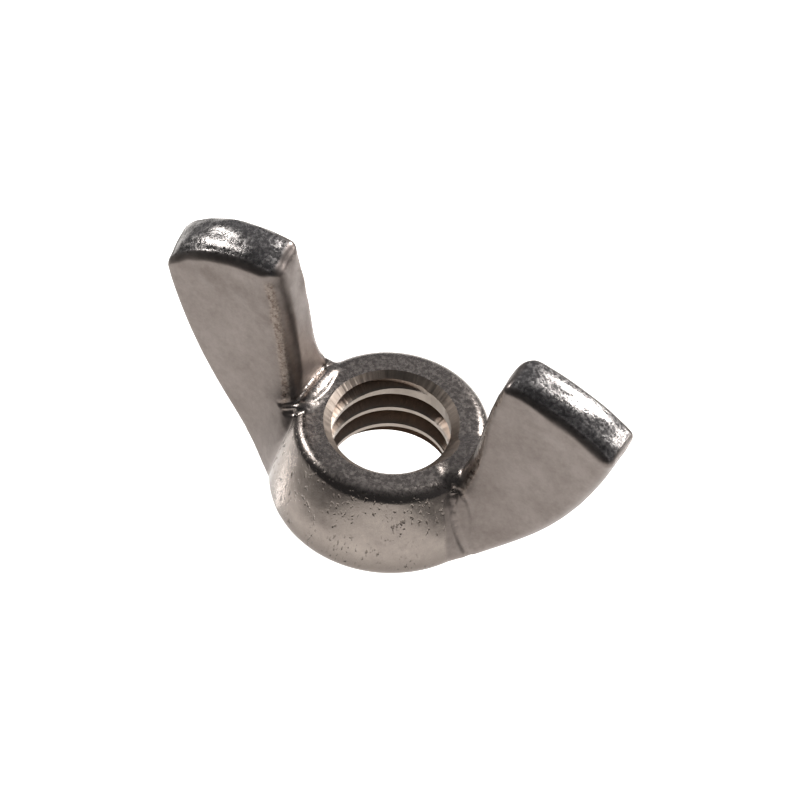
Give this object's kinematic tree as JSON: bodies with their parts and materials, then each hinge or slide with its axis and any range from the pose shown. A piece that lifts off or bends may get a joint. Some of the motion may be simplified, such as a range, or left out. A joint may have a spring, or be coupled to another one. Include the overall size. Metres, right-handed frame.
{
  "type": "wing nut",
  "caption": "Forged wing nut: a blunt conical hub with a threaded through hole, and two upswept wings to turn it by hand.",
  "frame": {"origin": "middle of the base, on the thread's axis", "axes": "+Z along the thread's axis from the base to the rim, +X towards one wing"},
  "size_m": [0.0278, 0.013, 0.0149],
  "materials": {
    "steel": "cold forged and tumbled bright"
  },
  "bodies": {
    "root": {"wing_nut": "steel"}
  },
  "joints": []
}
